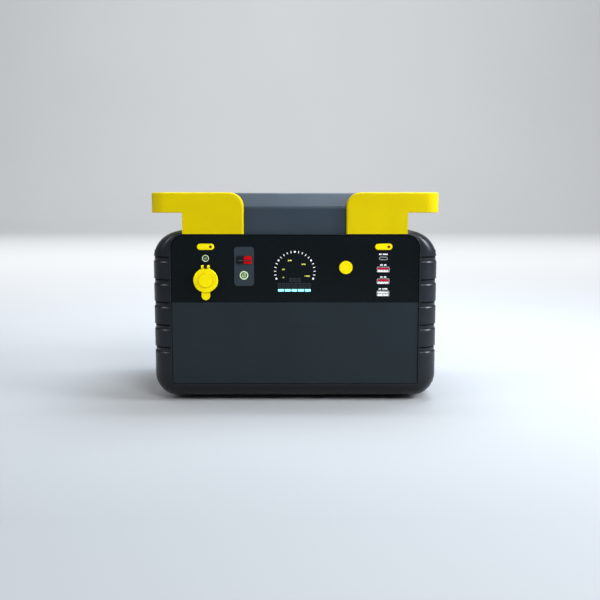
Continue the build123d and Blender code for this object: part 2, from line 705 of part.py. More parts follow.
def fan_rotor():
    """Drawn round the Y axis, hub towards the outside of the object."""
    front, back = PANEL_BACK + 1.2, PANEL_BACK + 12
    middle = (front + back) / 2
    rotor = disc((0, 0), 12, front, back)
    rotor += disc((0, 0), 1.5, front, PANEL_BACK + 15)
    for number in range(7):
        rotor += Pos(0, middle, 0) * fan_blade(number * 360 / 7)
    return to_back(Pos(FAN[0], 0, FAN[1]) * rotor)


def fan_screws():
    one = screw(2.6, 1.6, 1.45, 14)
    outer = HALF_DEPTH - PANEL_SINK + GRILLE_PROUD
    return group(Pos(x, outer, z) * Rot(-90, 0, 0) * one for x, z in fan_screw_places())


# ---------------------------------------------------------------- battery
def cell_places():
    return [
        ((column - (CELL_COLUMNS - 1) / 2) * CELL_PITCH, (row - (CELL_ROWS - 1) / 2) * CELL_PITCH)
        for column in range(CELL_COLUMNS)
        for row in range(CELL_ROWS)
    ]


def battery_cells():
    cell = layer(Circle(CELL_RADIUS), CELL_Z, CELL_Z + CELL_LENGTH)
    cell = chamfer(cell.edges().group_by(Axis.Z)[-1], 0.8)
    return group(Pos(x, y) * cell for x, y in cell_places())


def cell_holders():
    sketch = Rectangle(CELL_COLUMNS * CELL_PITCH, CELL_ROWS * CELL_PITCH)
    for x, y in cell_places():
        sketch -= Pos(x, y) * Circle(CELL_RADIUS + 0.1)
    top = CELL_Z + CELL_LENGTH
    return group([layer(sketch, CELL_Z + 1, CELL_Z + 9), layer(sketch, top - 9, top - 1)])


def cell_links():
    """Nickel strips: pairs of columns on top, the pairs between them underneath."""
    depth = CELL_ROWS * CELL_PITCH - 8
    links = []
    for number in range(CELL_COLUMNS // 2):
        x = (2 * number + 1 - CELL_COLUMNS / 2) * CELL_PITCH
        strip = Pos(x, 0) * Rectangle(2 * CELL_PITCH - 6, depth)
        links.append(layer(strip, CELL_Z + CELL_LENGTH, CELL_Z + CELL_LENGTH + 0.3))
        if number:
            strip = Pos(x - CELL_PITCH, 0) * Rectangle(2 * CELL_PITCH - 6, depth)
            links.append(layer(strip, CELL_Z - 0.3, CELL_Z))
    return group(links)


def management_board():
    low = CELL_Z + CELL_LENGTH + 2
    board = block((-90, 90), (-30, 30), (low, low + 1.6))
    for number in range(8):
        x = (number - 3.5) * 18
        board += block((x - 5, x + 5), (8, 24), (low + 1.6, low + 6))
    return board


def deck_plate():
    """Folded sheet that bridges the battery and carries the inverter."""
    reach = CELL_COLUMNS * CELL_PITCH / 2 + 0.8
    deck = block((-reach - 1.2, reach + 1.2), (-46, 74), (DECK_Z, DECK_Z + 1.2))
    for side in (-1, 1):
        leg = sorted((side * reach, side * (reach + 1.2)))
        deck += block(leg, (-42, 42), (7.2, DECK_Z + 1))
    for x in (-70, 0, 70):
        deck -= Pos(x, -20, DECK_Z) * Box(40, 14, 8)
    for x in (-104, 26):
        for y in (-32, 62):
            deck += Pos(x, y) * layer(Circle(2.8), DECK_Z + 1, INVERTER_Z)
    return deck


def inverter():
    board = block((-108, 30), (-36, 66), (INVERTER_Z, INVERTER_Z + 1.6))
    top = INVERTER_Z + 1.6
    core = block((-96, -52), (0, 40), (top, top + 36))
    core -= block((-88, -60), (-1, 41), (top + 7, top + 29))
    core += block((-80, -68), (0, 40), (top + 5, top + 31))
    turns = RectangleRounded(24, 50, 3) - Rectangle(12.2, 40.2)
    coil = layer(Pos(-74, 20) * turns, top + 8, top + 28)
    heatsink = block((-20, 26), (0, 60), (top, top + 5))
    for number in range(8):
        x = -20 + number * 6.3
        heatsink += block((x, x + 1.9), (0, 60), (top + 4, top + 30))
    can = fillet(layer(Circle(8.5), top, top + 27).edges().group_by(Axis.Z)[-1], 1.0)
    cans = [Pos(-50 + number * 18, -24) * can for number in range(4)]
    return {
        "inverter_board": board,
        "transformer_core": core,
        "transformer_winding": coil,
        "heatsink": heatsink,
        "capacitors": group(cans),
    }


def control_board():
    sketch = Pos(0, 138) * Rectangle(226, 62)
    sketch -= Pos(*CAR_SOCKET) * Circle(16.5)
    board = between(sketch, BOARD_Y, BOARD_Y + 1.6)
    board += between(Pos(-52.6, 141.5) * Rectangle(14, 24), BOARD_Y + 1.6, BOARD_Y + 6)
    return board


def battery_lead(y):
    """A cable held all the way: up through the deck and over to the inverter board."""
    low = CELL_Z + CELL_LENGTH + 3.6
    high = INVERTER_Z + 1.6
    points = [
        (72, y, low),
        (72, y, high + 6),
        (62, y, high + 19),
        (46, y, high + 22),
        (30, y, high + 17),
        (24, y, high + 1),
    ]
    path = FilletPolyline(*points, radius=9)
    start = Plane(origin=path @ 0, z_dir=path % 0)
    return sweep(start * Circle(1.7), path=path)


# ---------------------------------------------------------------- output
def all_nodes():
    nodes = {}
    nodes.update(housing())
    nodes.update(feet())
    nodes["housing_screws"] = housing_screws()
    nodes["control_panel"] = control_panel()
    nodes["lower_panel"] = lower_panel()
    nodes["input_plate"] = input_plate()
    nodes["power_pole_black"] = power_pole(-1)
    nodes["power_pole_red"] = power_pole(1)
    nodes["power_pole_contacts"] = power_pole_contacts()
    nodes.update(jacks())
    nodes.update(usb_ports())
    nodes["display_module"] = display_module()
    nodes.update(buttons())
    nodes.update(car_socket())
    nodes.update(socket_cap())
    nodes["top_cover"] = hump()
    nodes["right_handle"] = handle(1)
    nodes["left_handle"] = handle(-1)
    nodes["handle_screws"] = handle_screws()
    nodes["back_panel"] = back_panel()
    nodes["ac_outlets"] = outlet_block()
    nodes["ac_outlet_contacts"] = outlet_contacts()
    nodes["fan_grille"] = fan_grille()
    nodes["fan_frame"] = fan_frame()
    nodes["fan_rotor"] = fan_rotor()
    nodes["fan_screws"] = fan_screws()
    nodes["battery_cells"] = battery_cells()
    nodes["cell_holders"] = cell_holders()
    nodes["cell_links"] = cell_links()
    nodes["management_board"] = management_board()
    nodes["deck_plate"] = deck_plate()
    nodes.update(inverter())
    nodes["control_board"] = control_board()
    nodes["battery_lead_red"] = battery_lead(-17)
    nodes["battery_lead_black"] = battery_lead(-23)
    return nodes


os.makedirs("parts", exist_ok=True)
for name, shape in all_nodes().items():
    export_step(shape, f"parts/{name}.step")
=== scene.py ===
from math import cos, pi, radians, sin

import bmesh
import bpy
from mathutils import Matrix, Vector


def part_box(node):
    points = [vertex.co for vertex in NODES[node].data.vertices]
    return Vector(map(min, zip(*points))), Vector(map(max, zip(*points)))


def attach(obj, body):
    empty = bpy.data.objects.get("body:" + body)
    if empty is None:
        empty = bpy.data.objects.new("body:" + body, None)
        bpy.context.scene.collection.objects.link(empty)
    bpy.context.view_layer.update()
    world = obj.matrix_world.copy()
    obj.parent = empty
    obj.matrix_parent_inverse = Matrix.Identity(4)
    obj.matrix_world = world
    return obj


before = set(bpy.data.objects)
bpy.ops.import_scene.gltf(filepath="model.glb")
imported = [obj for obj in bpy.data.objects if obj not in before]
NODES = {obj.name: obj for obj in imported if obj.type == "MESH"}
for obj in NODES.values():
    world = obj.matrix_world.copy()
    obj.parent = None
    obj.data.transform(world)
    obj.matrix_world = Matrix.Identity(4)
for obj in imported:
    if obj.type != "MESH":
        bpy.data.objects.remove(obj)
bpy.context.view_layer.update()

MM = 0.001
PANEL_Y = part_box("control_panel")[0].y              # front face of the control panel
QUARTER_TURN = radians(90)


# ---------------------------------------------------------------- materials
def colour(red, green, blue):
    """An sRGB colour from 0 to 255 as the linear colour that Blender wants."""
    linear = []
    for value in (red, green, blue):
        share = value / 255
        linear.append(share / 12.92 if share <= 0.04045 else ((share + 0.055) / 1.055) ** 2.4)
    return (*linear, 1.0)


class Surface:
    """Builds one material. Sizes and depths are in millimetres."""

    def __init__(self, name, tint, roughness, metallic=0.0, specular=0.5):
        self.material = bpy.data.materials.new(name)
        self.material.use_nodes = True
        self.tree = self.material.node_tree
        self.shader = self.tree.nodes["Principled BSDF"]
        self.shader.inputs["Metallic"].default_value = metallic
        self.shader.inputs["Specular IOR Level"].default_value = specular
        self.place = self.tree.nodes.new("ShaderNodeTexCoord").outputs["Object"]
        self.tint = tint
        self.rough = roughness
        self.normal = None

    def node(self, kind, **settings):
        made = self.tree.nodes.new(kind)
        for key, value in settings.items():
            setattr(made, key, value)
        return made

    def put(self, node, name, value):
        """Sets an input, from a socket or a plain value."""
        if isinstance(value, bpy.types.NodeSocket):
            self.tree.links.new(value, node.inputs[name])
        else:
            node.inputs[name].default_value = value

    def noise(self, size_mm, detail=3.0, stretch=(1, 1, 1), distortion=0.0):
        """Noise with features about size_mm across; a larger stretch makes them shorter."""
        mapping = self.node("ShaderNodeMapping")
        mapping.inputs["Scale"].default_value = stretch
        self.tree.links.new(self.place, mapping.inputs["Vector"])
        made = self.node("ShaderNodeTexNoise")
        self.tree.links.new(mapping.outputs[0], made.inputs["Vector"])
        made.inputs["Scale"].default_value = 1 / (size_mm * MM)
        made.inputs["Detail"].default_value = detail
        made.inputs["Distortion"].default_value = distortion
        return made.outputs["Fac"]

    def pebbles(self, size_mm):
        """Rounded cells about size_mm across, as spark-eroded moulds leave."""
        made = self.node("ShaderNodeTexVoronoi", feature="SMOOTH_F1")
        self.tree.links.new(self.place, made.inputs["Vector"])
        made.inputs["Scale"].default_value = 1 / (size_mm * MM)
        return made.outputs["Distance"]

    def ranged(self, value, low, high, to_low=0.0, to_high=1.0):
        """Maps low..high to to_low..to_high, and holds the value at both ends."""
        made = self.node("ShaderNodeMapRange", clamp=True)
        self.put(made, "Value", value)
        self.put(made, "From Min", low)
        self.put(made, "From Max", high)
        self.put(made, "To Min", to_low)
        self.put(made, "To Max", to_high)
        return made.outputs[0]

    def maths(self, kind, first, second=0.0):
        made = self.node("ShaderNodeMath", operation=kind)
        self.put(made, 0, first)
        self.put(made, 1, second)
        return made.outputs[0]

    def blend(self, share, first, second):
        made = self.node("ShaderNodeMix", data_type="RGBA")
        self.put(made, 0, share)
        self.put(made, 6, first)
        self.put(made, 7, second)
        return made.outputs[2]

    def drift(self, size_mm, amount, detail=3.0):
        """Makes the colour a little lighter and darker from place to place."""
        share = self.ranged(self.noise(size_mm, detail), 0.3, 0.7)
        low = self.node("ShaderNodeHueSaturation")
        self.put(low, "Value", 1 - amount)
        self.put(low, "Color", self.tint)
        high = self.node("ShaderNodeHueSaturation")
        self.put(high, "Value", 1 + amount)
        self.put(high, "Color", self.tint)
        self.tint = self.blend(share, low.outputs[0], high.outputs[0])
        return self

    def polish(self, size_mm, amount, stretch=(1, 1, 1)):
        """Makes the roughness vary."""
        change = self.ranged(self.noise(size_mm, 4.0, stretch), 0.3, 0.7, -amount, amount)
        self.rough = self.maths("ADD", self.rough, change)
        return self

    def bump(self, height, depth_mm, strength):
        made = self.node("ShaderNodeBump")
        self.put(made, "Height", height)
        self.put(made, "Strength", strength)
        self.put(made, "Distance", depth_mm * MM)
        if self.normal is not None:
            self.tree.links.new(self.normal, made.inputs["Normal"])
        self.normal = made.outputs[0]
        return self

    def scuffs(self, tint, amount, size_mm=9.0, stretch=(1, 1, 6)):
        """Thin rubbed streaks, lighter than the rest."""
        streaks = self.ranged(self.noise(size_mm, 6.0, stretch, 0.6), 0.66, 0.74)
        patches = self.ranged(self.noise(60, 2.0), 0.5, 0.62)
        share = self.maths("MULTIPLY", self.maths("MULTIPLY", streaks, patches), amount)
        self.tint = self.blend(share, self.tint, tint)
        self.rough = self.maths("ADD", self.rough, self.maths("MULTIPLY", share, 0.25))
        return self

    def dust_and_sky_sheen(self, tint, amount):
        """A thin film on whatever faces up: dust, and where it is tinted blue, as on the bumper,
        also a painted sky highlight.
        """
        normal = self.node("ShaderNodeNewGeometry").outputs["Normal"]
        parts = self.node("ShaderNodeSeparateXYZ")
        self.tree.links.new(normal, parts.inputs[0])
        up = self.ranged(parts.outputs["Z"], 0.35, 1.0)
        speckle = self.ranged(self.noise(1.6, 5.0), 0.42, 0.72)
        share = self.maths("MULTIPLY", self.maths("MULTIPLY", up, speckle), amount)
        self.tint = self.blend(share, self.tint, tint)
        return self

    def along(self, axis):
        """Object position along one axis, in millimetres."""
        parts = self.node("ShaderNodeSeparateXYZ")
        self.tree.links.new(self.place, parts.inputs[0])
        return self.maths("DIVIDE", parts.outputs[axis], MM)

    def glow(self, tint, strength):
        self.shader.inputs["Emission Color"].default_value = tint
        self.shader.inputs["Emission Strength"].default_value = strength
        return self

    def done(self):
        self.put(self.shader, "Base Color", self.tint)
        self.put(self.shader, "Roughness", self.rough)
        if self.normal is not None:
            self.tree.links.new(self.normal, self.shader.inputs["Normal"])
        return self.material


SLOT_TOPS = (58.3, 82.0, 105.7, 129.4, 153.1)      # heights of the slots along the grooves' tops
SLOT_HEIGHT = 1.5
SLOT_FADE = 1.1                                     # from a slot's middle to where its painted shade ends
GROUND_SHADE_FROM, GROUND_SHADE_FULL = 34.0, 4.0                # heights where the painted shade near the ground begins and is complete


def slot_painted_shade(made):
    """Painted shade in the narrow slots: full inside, fading just above and below each one."""
    height = made.along("Z")
    total = 0.0
    for top in SLOT_TOPS:
        away = made.maths("ABSOLUTE", made.maths("SUBTRACT", height, top - SLOT_HEIGHT / 2))
        total = made.maths("ADD", total, made.ranged(away, SLOT_HEIGHT / 2, SLOT_FADE, 1.0, 0.0))
    return made.maths("MINIMUM", total, 1.0)


def bumper_rubber():
    """Soft overmoulded rubber with a pebbled grain, with painted shade in its slots and towards the
    ground.
    """
    made = Surface("bumper_rubber", colour(16, 22, 29), 0.36, specular=0.34)
    made.drift(45, 0.10).scuffs(colour(62, 70, 78), 0.3, stretch=(1, 5, 1))
    # the bluish film on upward faces is dust mixed with a painted sky highlight
    made.dust_and_sky_sheen(colour(84, 98, 118), 0.28).polish(14, 0.06)
    # painted shade: the narrow slots under each groove's top are darkened to near black
    slot_shade = slot_painted_shade(made)
    made.tint = made.blend(slot_shade, made.tint, colour(3, 4, 5))
    # painted shade: the rubber turns near black towards the ground
    ground_shade = made.ranged(made.along("Z"), GROUND_SHADE_FROM, GROUND_SHADE_FULL)
    made.tint = made.blend(ground_shade, made.tint, colour(3, 4, 4))
    made.rough = made.maths("ADD", made.rough, made.maths("MULTIPLY", slot_shade, 0.4))
    made.bump(made.pebbles(0.9), 0.05, 0.35)
    return made.bump(made.noise(5, 3.0), 0.03, 0.25).done()


def moulded(name, tint, roughness, drift, polish, grain, specular=0.5):
    """Plain plastic. drift and polish are (size, amount), grain is (size, depth, strength)."""
    made = Surface(name, tint, roughness, specular=specular)
    made.drift(*drift).polish(*polish)
    size, depth, strength = grain
    return made.bump(made.noise(size, 2.0), depth, strength).done()


def slate_plastic(name, tint, specular):
    """Satin moulded plastic with a fine spark-eroded grain."""
    made = Surface(name, tint, 0.42, specular=specular)
    made.drift(70, 0.06).scuffs(colour(60, 72, 82), 0.2).polish(20, 0.05)
    made.dust_and_sky_sheen(colour(100, 108, 114), 0.04)
    return made.bump(made.noise(0.45, 2.0), 0.025, 0.4).done()


def gloss_black():
    """Polished acrylic with hairline wiping marks."""
    made = Surface("gloss_black", colour(13, 18, 21), 0.24, specular=0.1)
    made.drift(90, 0.12).polish(30, 0.05, (1, 1, 0.2))
    hairs = made.noise(2.2, 8.0, (0.25, 1, 5), 0.4)
    made.rough = made.maths("ADD", made.rough, made.ranged(hairs, 0.55, 0.75, 0.0, 0.08))
    return made.bump(made.noise(9, 1.0), 0.01, 0.15).done()


def handle_yellow():
    """Satin nylon with a faint orange-peel grain, rubbed where it is held."""
    made = Surface("handle_yellow", colour(198, 176, 0), 0.42, specular=0.07)
    made.drift(38, 0.045).scuffs(colour(236, 220, 6), 0.25, stretch=(5, 1, 1))
    made.dust_and_sky_sheen(colour(190, 176, 20), 0.04).polish(16, 0.07)
    made.bump(made.pebbles(0.8), 0.02, 0.22)
    return made.bump(made.noise(6, 2.0), 0.02, 0.2).done()


def black_plastic():
    """Moulded black plastic, a little scuffed."""
    made = Surface("black_plastic", colour(17, 19, 22), 0.42, specular=0.2)
    made.drift(10, 0.12).scuffs(colour(64, 64, 66), 0.3, 5).polish(6, 0.07)
    return made.bump(made.noise(0.4, 2.0), 0.02, 0.4).done()


def foot_rubber():
    """Soft black rubber, dusty on top."""
    made = Surface("foot_rubber", colour(24, 24, 25), 0.72, specular=0.3)
    made.drift(6, 0.15).dust_and_sky_sheen(colour(90, 88, 84), 0.2)
    return made.bump(made.pebbles(0.7), 0.05, 0.5).done()


JACK_SHADE_FROM, JACK_SHADE_FULL = 0.4, 2.5           # depths behind the panel's face where the painted shade in the hole begins and is complete


def jack_ring():
    """Pale plastic with a touch of green, with painted shade down inside the hole."""
    made = Surface("jack_ring", colour(208, 238, 184), 0.36)
    made.drift(3, 0.05).polish(2, 0.06)
    front = PANEL_Y / MM
    # painted shade: the ring darkens the deeper it lies inside the hole
    depth = made.ranged(made.along("Y"), front + JACK_SHADE_FROM, front + JACK_SHADE_FULL)
    made.tint = made.blend(depth, made.tint, colour(36, 52, 20))
    return made.bump(made.noise(0.4, 2.0), 0.01, 0.3).done()


def metal(name, tint, roughness, stretch=(1, 1, 8), metallic=1.0):
    """Drawn or plated metal with fine lines along one way."""
    made = Surface(name, tint, roughness, metallic=metallic)
    lines = made.noise(1.2, 6.0, stretch)
    made.drift(6, 0.05)
    made.rough = made.maths("ADD", made.rough, made.ranged(lines, 0.3, 0.7, -0.08, 0.1))
    return made.bump(lines, 0.01, 0.25).done()


def lamp_red():
    """Dark red lens with a weak glow from the lamp behind it."""
    made = Surface("lamp_red", colour(110, 18, 10), 0.18, specular=0.5)
    made.drift(1.2, 0.2).polish(1, 0.04)
    return made.glow(colour(120, 20, 10), 0.12).done()


def cell_wrap():
    """Shrunk plastic sleeve of a battery cell."""
    made = Surface("cell_wrap", colour(40, 110, 160), 0.34)
    made.drift(12, 0.06).polish(8, 0.08)
    return made.bump(made.noise(7, 3.0, (1, 1, 0.3)), 0.03, 0.3).done()


BOARD_TRACKS = 120                                  # brick texture's scale
WIRE_TURNS = 320                                    # wave texture's scale


def circuit_board():
    """Green solder mask with paler tracks under it."""
    made = Surface("circuit_board", colour(20, 92, 48), 0.34)
    brick = made.node("ShaderNodeTexBrick")
    made.tree.links.new(made.place, brick.inputs["Vector"])
    brick.inputs["Scale"].default_value = BOARD_TRACKS
    tracks = made.ranged(brick.outputs["Fac"], 0.4, 0.6)
    made.tint = made.blend(tracks, made.tint, colour(44, 130, 70))
    made.drift(9, 0.08).polish(5, 0.06)
    return made.bump(tracks, 0.03, 0.3).done()


def ferrite():
    """Grey sintered ferrite."""
    made = Surface("ferrite", colour(52, 52, 56), 0.6)
    made.drift(3, 0.2)
    return made.bump(made.noise(0.6, 4.0), 0.05, 0.4).done()


def winding():
    """Lacquered copper wire in close turns."""
    made = Surface("winding", colour(184, 96, 44), 0.25, metallic=0.7)
    wave = made.node("ShaderNodeTexWave", bands_direction="Z")
    made.tree.links.new(made.place, wave.inputs["Vector"])
    wave.inputs["Scale"].default_value = WIRE_TURNS
    made.drift(8, 0.1).polish(4, 0.05)
    return made.bump(wave.outputs["Fac"], 0.2, 0.6).done()


def sleeve(name, tint):
    """Plain plastic sleeve of a capacitor or a lead."""
    return moulded(name, tint, 0.4, (8, 0.08), (5, 0.06), (3, 0.02, 0.3))


def printed(name, tint, glow):
    """Ink or a lit segment: slightly uneven in tone and sheen. A glow given to ink is a painted
    glow.
    """
    made = Surface(name, tint, 0.42, specular=0.3)
    made.drift(2.5, 0.04).polish(1.5, 0.08).glow(tint, glow)
    return made.bump(made.noise(0.3, 2.0), 0.004, 0.3).done()


def give(material, *names):
    """Puts a material on CAD nodes."""
    for name in names:
        for place in NODES[name].material_slots:
            place.material = material


def dress_case():
    give(bumper_rubber(), "front_shell", "rear_shell")
    give(slate_plastic("panel_slate", colour(33, 41, 45), 0.1), "lower_panel", "back_panel")
    give(slate_plastic("cover_slate", colour(45, 56, 66), 0.24), "top_cover")
    give(moulded("plate_plastic", colour(46, 55, 62), 0.38, (12, 0.05), (6, 0.05),
                 (0.4, 0.02, 0.4), specular=0.1), "input_plate")
    give(gloss_black(), "control_panel", "display_module")
    give(handle_yellow(), "left_handle", "right_handle")
    give(foot_rubber(), "rubber_feet")


def dress_controls():
    give(moulded("button_yellow", colour(234, 214, 0), 0.36, (8, 0.04), (4, 0.06),
                 (0.5, 0.012, 0.3), specular=0.12),
         "dc_button", "usb_button", "power_button", "ac_button", "car_socket_cap")
    give(moulded("red_plastic", colour(188, 3, 8), 0.36, (4, 0.08), (3, 0.06),
                 (0.4, 0.015, 0.3), specular=0.08), "power_pole_red")
    give(moulded("tongue_red", colour(190, 10, 50), 0.38, (4, 0.08), (3, 0.05),
                 (0.3, 0.01, 0.3), specular=0.2), "usb_a_tongue_1", "usb_a_tongue_2")
    give(moulded("white_plastic", colour(236, 238, 236), 0.4, (4, 0.03), (3, 0.05),
                 (0.3, 0.01, 0.3)), "usb_a_tongue_3")
    give(black_plastic(), "power_pole_black", "car_socket_bezel", "car_socket_nut", "ac_outlets",
         "fan_grille", "fan_frame", "fan_rotor", "cell_holders", "button_switches", "usb_c_tongue")
    give(jack_ring(), "charge_jack", "dc_output_jack")
    give(lamp_red(), "dc_button_lamp", "usb_button_lamp", "ac_button_lamp")


def dress_metal():
    give(metal("nickel_plate", colour(226, 224, 216), 0.26),
         "jack_pins", "power_pole_contacts", "cell_links", "car_socket_barrel")
    give(metal("port_steel", colour(238, 240, 242), 0.36, metallic=0.55),
         "usb_c_shell", "usb_a_shell_1", "usb_a_shell_2", "usb_a_shell_3")
    give(metal("brass", colour(214, 178, 92), 0.3), "car_socket_contact", "ac_outlet_contacts")
    give(metal("zinc_plate", colour(168, 168, 170), 0.34), "handle_screws", "housing_screws")
    give(metal("dark_zinc", colour(70, 70, 74), 0.36), "fan_screws", "cap_hinge_pin")
    give(metal("sheet_aluminium", colour(196, 198, 202), 0.36, (8, 1, 1)), "deck_plate", "heatsink")


def dress_inside():
    give(cell_wrap(), "battery_cells")
    give(circuit_board(), "management_board", "inverter_board", "control_board")
    give(ferrite(), "transformer_core")
    give(winding(), "transformer_winding")
    give(sleeve("capacitor_sleeve", colour(30, 34, 60)), "capacitors")
    give(sleeve("red_sleeve", colour(176, 24, 22)), "battery_lead_red")
    give(sleeve("black_sleeve", colour(26, 26, 28)), "battery_lead_black")


# ---------------------------------------------------------------- mesh pieces
PRINT_HEIGHT = 0.12 * MM
PRINT_SUNK = 0.05 * MM                              # how far print reaches into the panel
SMOOTH_LIMIT = radians(32)                          # edges that turn by more stay sharp


def prism(bm, outline, front, back):
    """Adds a closed shape to bm: outline is (x, z) points in order, filled between two depths."""
    near = [bm.verts.new((x, front, z)) for x, z in outline]
    far = [bm.verts.new((x, back, z)) for x, z in outline]
    bm.faces.new(near)
    bm.faces.new(far[::-1])
    for i in range(len(outline)):
        bm.faces.new((near[i], near[i - 1], far[i - 1], far[i]))


def rounded_bar(x, z, length, width, turn, corner, steps=4):
    """Outline of a bar about (x, z), turned from +X, with rounded corners."""
    points = []
    half = (length / 2 - corner, width / 2 - corner)
    for number, (sx, sz) in enumerate(((1, 1), (-1, 1), (-1, -1), (1, -1))):
        for step in range(steps + 1):
            angle = QUARTER_TURN * (number + step / steps)
            u = sx * half[0] + corner * cos(angle)
            v = sz * half[1] + corner * sin(angle)
            points.append((x + u * cos(turn) - v * sin(turn), z + u * sin(turn) + v * cos(turn)))
    return points


def circle(x, z, radius, steps=20):
    return [(x + radius * cos(2 * pi * i / steps), z + radius * sin(2 * pi * i / steps))
            for i in range(steps)]


def piece(name, bm, material):
    """Turns bm into a named piece on the housing, smooth across its gentle edges only."""
    bmesh.ops.recalc_face_normals(bm, faces=bm.faces)
    for face in bm.faces:
        face.smooth = True
    for edge in bm.edges:
        edge.smooth = len(edge.link_faces) == 2 and edge.calc_face_angle(0) < SMOOTH_LIMIT
    mesh = bpy.data.meshes.new(name)
    bm.to_mesh(mesh)
    bm.free()
    return on_housing(name, mesh, material)


def on_housing(name, mesh, material):
    mesh.materials.clear()
    mesh.materials.append(material)
    made = bpy.data.objects.new(name, mesh)
    bpy.context.scene.collection.objects.link(made)
    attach(made, "housing")
    return made


def printed_piece(name, outlines, material, height=PRINT_HEIGHT):
    """Raised print on the control panel."""
    bm = bmesh.new()
    for outline in outlines:
        prism(bm, outline, PANEL_Y - height, PANEL_Y + PRINT_SUNK)
    piece(name, bm, material)


# ---------------------------------------------------------------- display
GAUGE = sum(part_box("display_module"), Vector()) / 2 + Vector((0, 0, 2.5 * MM))
DIAL_RADIUS = 20.4 * MM
DIAL_MARKS = 21
DIAL_START, DIAL_END = 201.2, -21.2                 # degrees from +X
DIAL_STEP = (DIAL_START - DIAL_END) / (DIAL_MARKS - 1)
DOT_EVERY = 5
DOT_RADIUS = 0.98 * MM
TICK = (2.3 * MM, 0.62 * MM)                        # length and width
TICK_CORNER = 0.2 * MM

NUMBERS = (                                         # text, degrees from +X, radius in mm
    ("0", 207.7, 13.3), ("50", 169.4, 12.0), ("200", 114.9, 12.6),
    ("500", 39.8, 11.7), ("1000", -20.5, 13.4),
)
NUMBER_SIZE = 2.4 * MM
NUMBER_STRETCH = (1.2, 0.72)                        # across and up
NUMBER_WEIGHT = 0.05 * MM

UNLIT_HEIGHT = 0.04 * MM
UNLIT_ROWS = (                                      # in mm: count, pitch, first, level, size
    (3, 4.2, -5.7, -10.9, (3.2, 4.2)),
    (8, 4.4, -17.6, -16.6, (3.4, 4.6)),
)
SEGMENT = 0.5 * MM                                  # thickness of a digit's segments

CHARGE_BLOCKS = 5
CHARGE_PITCH, CHARGE_SHIFT, CHARGE_LEVEL = 6.95, -0.5, -19.5
CHARGE_BLOCK = (6.0 * MM, 2.5 * MM)
CHARGE_CORNER = 0.3 * MM

MARK_ROWS = ((155.4, 2, 4), (144.3, 2, 2), (131.9, 2, 2), (119.5, 2, 4))    # height, two groups
MARK_PITCH = 1.35 * MM
MARK_SPACE = 0.8                                    # gap between the groups, in pitches
MARK = (0.95 * MM, 1.4 * MM)
MARK_CORNER = 0.25 * MM

PORT_WALL = 0.45 * MM
CONTACTS = 4
CONTACT_PITCH, CONTACT_SIZE, CONTACT_CORNER, CONTACT_LEVEL = 2.9 * MM, 1.8 * MM, 0.5 * MM, 1.1 * MM
CONTACT_BASE = (11.2 * MM, 1.1 * MM)
CONTACT_BASE_CORNER = 0.2 * MM
CONTACT_FRONT, BASE_FRONT, CONTACT_BACK = 0.4 * MM, 0.3 * MM, 8 * MM       # behind the panel


def on_dial(angle, radius):
    return GAUGE.x + radius * cos(radians(angle)), GAUGE.z + radius * sin(radians(angle))


def dial_marks(material):
    """A dot at each fifth mark and a radial tick at the others."""
    outlines = []
    for number in range(DIAL_MARKS):
        angle = DIAL_START - number * DIAL_STEP
        x, z = on_dial(angle, DIAL_RADIUS)
        if number % DOT_EVERY == 0:
            outlines.append(circle(x, z, DOT_RADIUS))
        else:
            outlines.append(rounded_bar(x, z, *TICK, radians(angle), TICK_CORNER))
    printed_piece("dial_marks", outlines, material)


def dial_number(text, x, z, material):
    """A small raised number, wide and low, centred on (x, z)."""
    curve = bpy.data.curves.new("number_" + text, "FONT")
    curve.body = text
    curve.size = NUMBER_SIZE
    curve.align_x = "CENTER"
    curve.align_y = "CENTER"
    curve.extrude = PRINT_HEIGHT / 2
    curve.offset = NUMBER_WEIGHT
    source = bpy.data.objects.new("number_source", curve)
    mesh = bpy.data.meshes.new_from_object(source)
    upright = Matrix.Rotation(QUARTER_TURN, 4, "X")
    squat = Matrix.Diagonal((*NUMBER_STRETCH, 1.0, 1.0))
    mesh.transform(Matrix.Translation((x, PANEL_Y - PRINT_HEIGHT / 2, z)) @ upright @ squat)
    bpy.data.objects.remove(source)
    on_housing("number_" + text, mesh, material)


def seven_segments(x, z, width, height, bar):
    """Outlines of all seven segments of a digit whose lower left corner is (x, z)."""
    gap = bar * 0.35
    corner = bar * 0.3
    flat = width - bar - 2 * gap
    tall = height / 2 - bar - 2 * gap
    across = [(x + width / 2, level)
              for level in (z + bar / 2, z + height / 2, z + height - bar / 2)]
    upright = [(side, level)
               for side in (x + bar / 2, x + width - bar / 2)
               for level in (z + height / 4, z + 3 * height / 4)]
    bars = [rounded_bar(a, b, flat, bar, 0, corner, 2) for a, b in across]
    return bars + [rounded_bar(a, b, tall, bar, QUARTER_TURN, corner, 2) for a, b in upright]


def unlit_digits(material):
    """Segments that are off, faint on the black panel."""
    outlines = []
    for count, pitch, first, level, (width, height) in UNLIT_ROWS:
        for number in range(count):
            x = GAUGE.x + (number * pitch + first) * MM
            outlines += seven_segments(x, GAUGE.z + level * MM, width * MM, height * MM, SEGMENT)
    printed_piece("unlit_segments", outlines, material, UNLIT_HEIGHT)


def charge_bar(material):
    """Lit blocks in a row, which show how full the battery is."""
    outlines = []
    z = GAUGE.z + CHARGE_LEVEL * MM
    for number in range(CHARGE_BLOCKS):
        x = GAUGE.x + ((number - (CHARGE_BLOCKS - 1) / 2) * CHARGE_PITCH + CHARGE_SHIFT) * MM
        outlines.append(rounded_bar(x, z, *CHARGE_BLOCK, 0, CHARGE_CORNER))
    printed_piece("charge_bar", outlines, material)


def port_marks(material):
    """Rows of small blocks over the ports, in place of lettering."""
    outlines = []
    middle = sum(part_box("usb_c_shell"), Vector()).x / 2
    for level, first, second in MARK_ROWS:
        start = middle - (first + second + MARK_SPACE - 1) * MARK_PITCH / 2
        for index in range(first + second):
            shift = index + (MARK_SPACE if index >= first else 0)
            x = start + shift * MARK_PITCH
            outlines.append(rounded_bar(x, level * MM, *MARK, 0, MARK_CORNER))
    printed_piece("port_marks", outlines, material)


